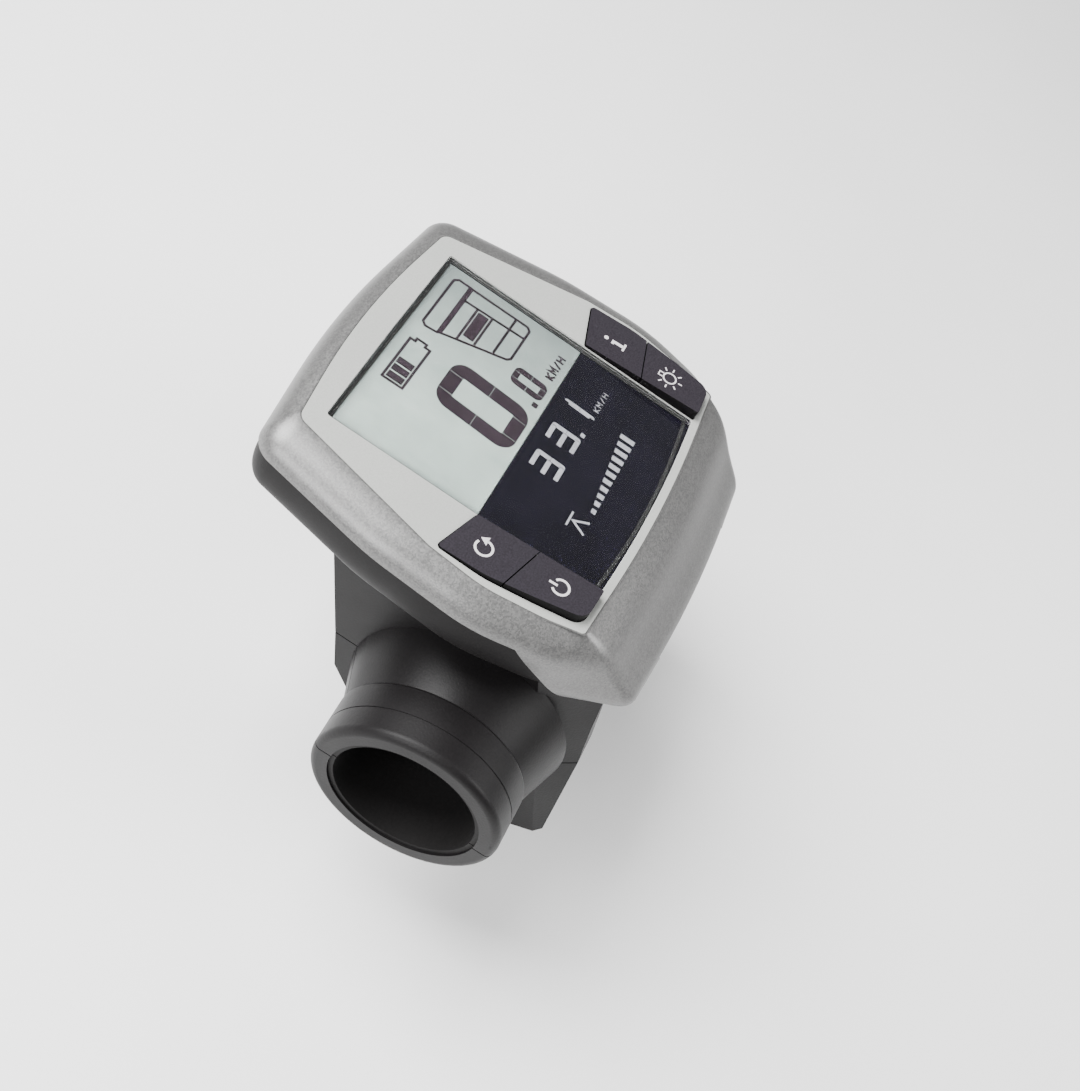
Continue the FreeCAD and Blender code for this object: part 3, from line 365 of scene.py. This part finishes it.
def prism(mesh, points, low, high):
    """A straight-sided solid of a plan outline; low and high give the height at a point, in millimetres."""
    def corners(height):
        return [mesh.verts.new(DISPLAY_PLACE + Vector((x, y, height(x, y))) * MM) for x, y in points]
    bottom = corners(low)
    top = corners(high)
    count = len(points)
    mesh.faces.new(top)
    mesh.faces.new(bottom[::-1])
    for i in range(count):
        after = (i + 1) % count
        mesh.faces.new((bottom[i], bottom[after], top[after], top[i]))


def area(points):
    """Twice the signed area of an outline."""
    return sum(ax * by - bx * ay for (ax, ay), (bx, by) in zip(points, points[1:] + points[:1]))


def band(path, width, closed=False):
    """The two edges of a line of even width along a path, mitred at its corners."""
    count = len(path)
    left, right = [], []
    for i, (x, y) in enumerate(path):
        before = path[i - 1] if closed or i > 0 else None
        after = path[(i + 1) % count] if closed or i < count - 1 else None
        arms = []
        if before is not None:
            arms.append(Vector((x - before[0], y - before[1])).normalized())
        if after is not None:
            arms.append(Vector((after[0] - x, after[1] - y)).normalized())
        along = sum(arms, Vector((0, 0))).normalized()
        stretch = width / 2 / max(along.dot(arms[0]), 0.35)
        side = Vector((-along.y, along.x)) * stretch
        left.append((x + side.x, y + side.y))
        right.append((x - side.x, y - side.y))
    return left, right


def arc(centre, radius, start, end, steps=10):
    """Points along an arc, angles in degrees."""
    angles = [math.radians(start + (end - start) * i / steps) for i in range(steps + 1)]
    return [(centre[0] + radius * math.cos(a), centre[1] + radius * math.sin(a)) for a in angles]


def rounded_box(low, high, radius, steps=5):
    """A rectangle's outline with rounded corners, anticlockwise."""
    corners = [((high[0] - radius, high[1] - radius), 0), ((low[0] + radius, high[1] - radius), 90),
               ((low[0] + radius, low[1] + radius), 180), ((high[0] - radius, low[1] + radius), 270)]
    return [point for centre, start in corners for point in arc(centre, radius, start, start + 90, steps)]


class Print:
    """Flat marks gathered into one piece: raised a hair over a surface whose height is a function."""

    def __init__(self, surface, sink=0.02, proud=0.05):
        self.mesh = bmesh.new()
        self.low = lambda x, y: surface(x, y) - sink
        self.high = lambda x, y: surface(x, y) + proud

    def fill(self, points):
        if area(points) < 0:
            points = points[::-1]
        prism(self.mesh, points, self.low, self.high)

    def line(self, path, width, closed=False):
        left, right = band(path, width, closed)
        if not closed:
            self.fill(left + right[::-1])
            return
        spans = len(path)
        rings = [[self.mesh.verts.new(DISPLAY_PLACE + Vector((x, y, height(x, y))) * MM) for x, y in side]
                 for side in (left, right) for height in (self.low, self.high)]
        left_low, left_high, right_low, right_high = rings
        for i in range(spans):
            after = (i + 1) % spans
            self.mesh.faces.new((left_high[i], left_high[after], right_high[after], right_high[i]))
            self.mesh.faces.new((right_low[i], right_low[after], left_low[after], left_low[i]))
            self.mesh.faces.new((left_low[i], left_low[after], left_high[after], left_high[i]))
            self.mesh.faces.new((right_high[i], right_high[after], right_low[after], right_low[i]))

    def disc(self, centre, radius, steps=20):
        self.fill(arc(centre, radius, 0, 360 - 360 / steps, steps - 1))

    def piece(self, name, body, slot, material):
        bmesh.ops.recalc_face_normals(self.mesh, faces=self.mesh.faces)
        data = bpy.data.meshes.new(name)
        self.mesh.to_mesh(data)
        self.mesh.free()
        return new_piece(name, data, body, material)


# ---------------------------------------------------------------- figures behind the window

def panel_height(x, y):
    return PANEL_TOP


SEGMENTS = {"0": "abcdef", "1": "bc", "3": "abcdg"}


def segment_shapes(stroke, width, height, corner):
    """The seven bars of a figure, drawn upright from its lower left corner, with hairline gaps."""
    gap = 0.12
    middle = height / 2
    inner = width - stroke
    top, low = height - stroke, stroke
    right_upper = [(width - corner, height), *arc((width - corner, height - corner), corner, 90, 0, 6)[1:],
                   (width, middle + gap / 2), (inner, middle + gap / 2), (inner, top), (width - corner, top)]
    left_upper = [(width - x, y) for x, y in right_upper]
    shapes = {
        "a": [(corner + gap, height), (width - corner - gap, height), (width - corner - gap, top),
              (corner + gap, top)],
        "b": right_upper,
        "f": left_upper,
        "c": [(x, height - y) for x, y in right_upper],
        "e": [(x, height - y) for x, y in left_upper],
        "d": [(corner + gap, low), (width - corner - gap, low), (width - corner - gap, 0), (corner + gap, 0)],
        "g": [(corner * 0.6, middle + stroke / 2), (inner - gap, middle + stroke / 2),
              (inner - gap, middle - stroke / 2), (corner * 0.6, middle - stroke / 2)],
    }
    return shapes


def figure(marks, digit, place, width, height, stroke, slant, corner):
    """One figure of bars, leaning by slant, with its lower left corner at a place."""
    shapes = segment_shapes(stroke, width, height, corner)
    for bar in SEGMENTS[digit]:
        marks.fill([(place[0] + x + slant * y, place[1] + y) for x, y in shapes[bar]])


def speed_figures():
    """The big speed reading on the reflective panel."""
    marks = Print(panel_height)
    figure(marks, "0", (-9.0, -15.8), 12.5, 19.0, 3.35, 0.06, 3.6)
    figure(marks, "0", (7.3, -15.6), 4.9, 8.0, 1.5, 0.06, 1.5)
    marks.fill(rounded_box((5.3, -15.6), (6.6, -14.3), 0.12))
    marks.piece("speed_figures", "display", "lcd_glass", "lcd_ink")


def stroke_letters(marks, word, place, height, width, step, pen):
    """Plain single-line capitals, for the unit of speed."""
    paths = {
        "K": [[(0, 0), (0, 1)], [(1, 1), (0.08, 0.5), (1, 0)]],
        "M": [[(0, 0), (0, 1), (0.5, 0.45), (1, 1), (1, 0)]],
        "H": [[(0, 0), (0, 1)], [(1, 0), (1, 1)], [(0.06, 0.5), (0.94, 0.5)]],
        "/": [[(0.1, 0), (0.9, 1)]],
    }
    for i, letter in enumerate(word):
        for path in paths[letter]:
            marks.line([(place[0] + i * step + x * width, place[1] + y * height) for x, y in path], pen)


def unit_marks():
    marks = Print(panel_height)
    stroke_letters(marks, "KM/H", (14.5, -15.4), 1.9, 1.25, 1.9, 0.5)
    marks.piece("unit_marks", "display", "lcd_glass", "lcd_ink")


def charge_icon():
    """The battery outline, lying along the panel, with three of its bars filled."""
    marks = Print(panel_height)
    nub = [(2.1, 8.5), (2.1, 9.7), (3.0, 9.7), (3.0, 12.0), (2.1, 12.0), (2.1, 13.2)]
    marks.line([(-10.3, 8.5)] + nub + [(-10.3, 13.2)], 0.6, True)
    for i in range(3):
        low = -9.75 + i * 2.2
        marks.fill(rounded_box((low, 9.0), (low + 1.8, 12.7), 0.1))
    marks.piece("charge_icon", "display", "lcd_glass", "lcd_ink")


def level_chart():
    """The stepped outline that shows the level of assistance."""
    marks = Print(panel_height)
    pen = 0.6
    marks.line([(7.5, 9.6), (7.2, 12.4), (8.1, 13.3), (22.6, 13.3), (23.5, 12.4), (23.5, 9.6)], pen, True)
    marks.line([(7.9, 9.0), (23.4, 9.0), (23.4, -4.9), (22.6, -5.7), (12.9, -5.7), (12.1, -5.0)], pen, True)
    for height, start in ((5.7, 9.2), (2.1, 10.4), (-2.0, 11.6)):
        marks.line([(start, height), (19.6, height)], pen)
    marks.line([(19.4, 9.0), (19.9, -5.6)], pen)
    marks.line([(19.8, -2.0), (23.3, -2.0)], pen)
    marks.fill(rounded_box((10.9, 2.6), (18.9, 5.2), 0.3))
    marks.piece("level_chart", "display", "lcd_glass", "lcd_ink")


def aperture_shadow_frame():
    """The thin dark frame that closes the gap between the window and both panels: a dark frame put in as
    painted shadow around the window's edge.
    """
    low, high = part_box("display_window")
    half = high.x / MM - 0.42
    front = (high.y - DISPLAY_PLACE.y) / MM - 0.75
    rear = (low.y - DISPLAY_PLACE.y) / MM
    bow = 1.9
    path = [(half, front), (-half, front), (-half, rear + bow + 0.5)]
    shares = [i / 8 for i in range(1, 8)]
    path += [(-half + 2 * half * share, rear + 0.5 + bow * (1 - 4 * share * (1 - share))) for share in shares]
    path += [(half, rear + bow + 0.5)]
    marks = Print(panel_height, -0.02, (WINDOW_BASE - PANEL_TOP) - 0.03)
    marks.line(path, 0.75, True)
    # Painted shadow: the frame is drawn in dark seal rubber to give the shadow line around the panels.
    marks.piece("aperture_shadow_frame", "display", "seal_rubber", "seal_rubber")


def lower_figures():
    """The highest speed, in small figures on the dark panel."""
    marks = Print(panel_height)
    for place in ((-8.7, -26.9), (-0.2, -26.8)):
        figure(marks, "3", place, 5.3, 6.9, 1.05, 0.02, 0.7)
    figure(marks, "1", (7.2, -26.9), 5.2, 7.4, 1.1, 0.04, 0.6)
    marks.fill(rounded_box((5.9, -27.0), (6.9, -26.0), 0.1))
    stroke_letters(marks, "KM/H", (14.2, -26.9), 1.3, 1.0, 1.6, 0.16)
    marks.piece("lower_figures", "display", "dark_display", "glow_ink")


def peak_marks():
    """A peak sign and a row of rising bars under the highest speed."""
    marks = Print(panel_height)
    base = -36.6
    marks.line([(-15.6, base), (-13.9, base + 3.2), (-12.2, base)], 0.5)
    marks.line([(-15.8, base + 4.0), (-12.0, base + 4.0)], 0.45)
    bars = 11
    for i in range(bars):
        left = -9.6 + i * 2.15
        marks.fill([(left, base), (left + 1.2, base), (left + 1.2, base + 1.1 + 0.24 * i),
                    (left, base + 0.98 + 0.24 * i)])
    marks.piece("peak_marks", "display", "dark_display", "glow_ink")


# ---------------------------------------------------------------- marks on the keys

KEY_SLOPE = (-14.5, 0.35, -44.5, 2.5)


def key_height(x, y):
    """The keys' top surface: it rises evenly towards the chin."""
    front, low, rear, high = KEY_SLOPE
    return low + (high - low) * (front - y) / (front - rear)


def key_print():
    return Print(key_height, 0.05, 0.03)


def reset_mark():
    """A circular arrow."""
    marks = key_print()
    centre = (-33.4, -21.3)
    marks.line(arc(centre, 1.75, 60, 360, 22), 0.5)
    tip = (centre[0] + 1.75, centre[1])
    marks.fill([(tip[0] - 1.05, tip[1] - 0.1), (tip[0] + 1.05, tip[1] - 0.1), (tip[0] + 0.1, tip[1] + 1.5)])
    marks.piece("reset_mark", "reset_key", "key_plastic", "key_ink")


def power_mark():
    """The usual broken ring and stroke."""
    marks = key_print()
    centre = (-32.0, -37.3)
    marks.line(arc(centre, 1.7, 125, 415, 22), 0.5)
    marks.line([(centre[0], centre[1] + 0.7), (centre[0], centre[1] + 2.5)], 0.5)
    marks.piece("power_mark", "power_key", "key_plastic", "key_ink")


def info_mark():
    """A small serifed i."""
    marks = key_print()
    x = 32.4
    marks.disc((x, -19.9), 0.52)
    marks.fill([(x - 0.75, -21.3), (x + 0.4, -21.3), (x + 0.4, -24.1), (x - 0.4, -24.1), (x - 0.4, -21.95),
                (x - 0.75, -21.95)])
    marks.line([(x - 1.1, -24.25), (x + 1.1, -24.25)], 0.5)
    marks.piece("info_mark", "info_key", "key_plastic", "key_ink")


def lamp_mark():
    """A bulb with rays around it."""
    marks = key_print()
    centre = (31.7, -35.9)
    marks.line(arc(centre, 1.45, 0, 342, 19), 0.34, True)
    cap = [(-0.55, 1.6), (-0.55, 2.6), (0.55, 2.6), (0.55, 1.6)]
    marks.line([(centre[0] + x, centre[1] + y) for x, y in cap], 0.28)
    for degrees in (-90, -45, 0, 40, 140, 180, 225):
        x, y = math.cos(math.radians(degrees)), math.sin(math.radians(degrees))
        marks.line([(centre[0] + reach * x, centre[1] + reach * y) for reach in (2.1, 3.0)], 0.3)
    marks.piece("lamp_mark", "lamp_key", "key_plastic", "key_ink")


# ---------------------------------------------------------------- moulded details on the dock

def box_mesh(mesh, low, high, soft):
    """A small block with softened edges, added to a bmesh in the part's own frame, in metres."""
    made = bmesh.ops.create_cube(mesh, size=1.0)["verts"]
    size = high - low
    for vert in made:
        vert.co = Vector((low[i] + (vert.co[i] + 0.5) * size[i] for i in range(3)))
    edges = list({edge for vert in made for edge in vert.link_edges})
    bmesh.ops.bevel(mesh, geom=edges, offset=soft, segments=2, profile=0.6, affect="EDGES")


def latch_grips():
    """Three raised grip ribs across the sloping top of the latch's thumb tab."""
    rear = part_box("latch")[0].y
    mesh = bmesh.new()
    for i in range(3):
        y = rear + 0.0013 + 0.0011 * i
        top = 0.0289 + 0.325 * (y - rear - 0.0008)
        low = Vector((-0.0062, y - 0.0003, top - 0.0004))
        high = Vector((0.0062, y + 0.0003, top + 0.00025))
        box_mesh(mesh, low, high, 0.00015)
    data = bpy.data.meshes.new("latch_grips")
    mesh.to_mesh(data)
    mesh.free()
    new_piece("latch_grips", data, "release_latch", "dock_plastic")


# ---------------------------------------------------------------- stage, lights and camera

CAMERA_PLACE = Vector((-0.2045, 0.0282, 0.2689))
CAMERA_FORWARD = Vector((0.631, -0.075, -0.772))
CAMERA_UP = Vector((0.670, 0.555, 0.493))
LIGHT_AIM = Vector((0, 0, 0.02))


def add_camera():
    """A 50 mm lens on a 36 mm wide frame, where the photograph was taken from."""
    data = bpy.data.cameras.new("camera")
    data.sensor_fit = "HORIZONTAL"
    data.sensor_width = 36.0
    data.lens = 50.0
    camera = bpy.data.objects.new("camera", data)
    bpy.context.scene.collection.objects.link(camera)
    back = -CAMERA_FORWARD.normalized()
    right = CAMERA_UP.cross(back).normalized()
    axes = Matrix((right, back.cross(right), back)).transposed().to_4x4()
    axes.translation = CAMERA_PLACE
    camera.matrix_world = axes
    bpy.context.scene.camera = camera


def add_floor():
    """A plain pale floor under the object."""
    mesh = bmesh.new()
    bmesh.ops.create_grid(mesh, x_segments=2, y_segments=2, size=2.0)
    data = bpy.data.meshes.new("floor")
    mesh.to_mesh(data)
    mesh.free()
    floor = bpy.data.objects.new("floor", data)
    floor.location.z = CAD_BOX[0].z - FLOOR_DROP
    bpy.context.scene.collection.objects.link(floor)
    m = Nodes("floor_paint")
    m.feed(m.shader.inputs["Base Color"], m.mixed(m.ranged(m.noise(8.0), 0.0, 1.0), colour(0.84, 0.84, 0.84),
                                                   colour(0.88, 0.88, 0.88)))
    m.shader.inputs["Roughness"].default_value = 0.8
    floor.data.materials.append(m.finish(0.0, 0.2))


def softbox(name, place, size, power):
    """A square white area light aimed at the display."""
    data = bpy.data.lights.new(name, "AREA")
    data.energy = power
    data.size = size
    lamp = bpy.data.objects.new(name, data)
    lamp.location = place
    lamp.rotation_euler = (LIGHT_AIM - Vector(place)).to_track_quat("-Z", "Y").to_euler()
    bpy.context.scene.collection.objects.link(lamp)


def light_stage():
    world = bpy.data.worlds.new("studio")
    world.use_nodes = True
    world.node_tree.nodes["Background"].inputs["Color"].default_value = (1.0, 1.0, 1.0, 1.0)
    world.node_tree.nodes["Background"].inputs["Strength"].default_value = 0.3
    bpy.context.scene.world = world
    softbox("key", (-0.50, 0.22, 0.34), 0.30, 4.2)
    softbox("top", (-0.05, 0.50, 0.72), 0.55, 25.0)
    softbox("rim", (0.10, -0.60, 0.45), 0.4, 5.0)


# ---------------------------------------------------------------- build

paint_nodes()
aperture_shadow_frame()
speed_figures()
unit_marks()
charge_icon()
level_chart()
lower_figures()
peak_marks()
reset_mark()
power_mark()
info_mark()
lamp_mark()
latch_grips()
add_floor()
light_stage()
add_camera()
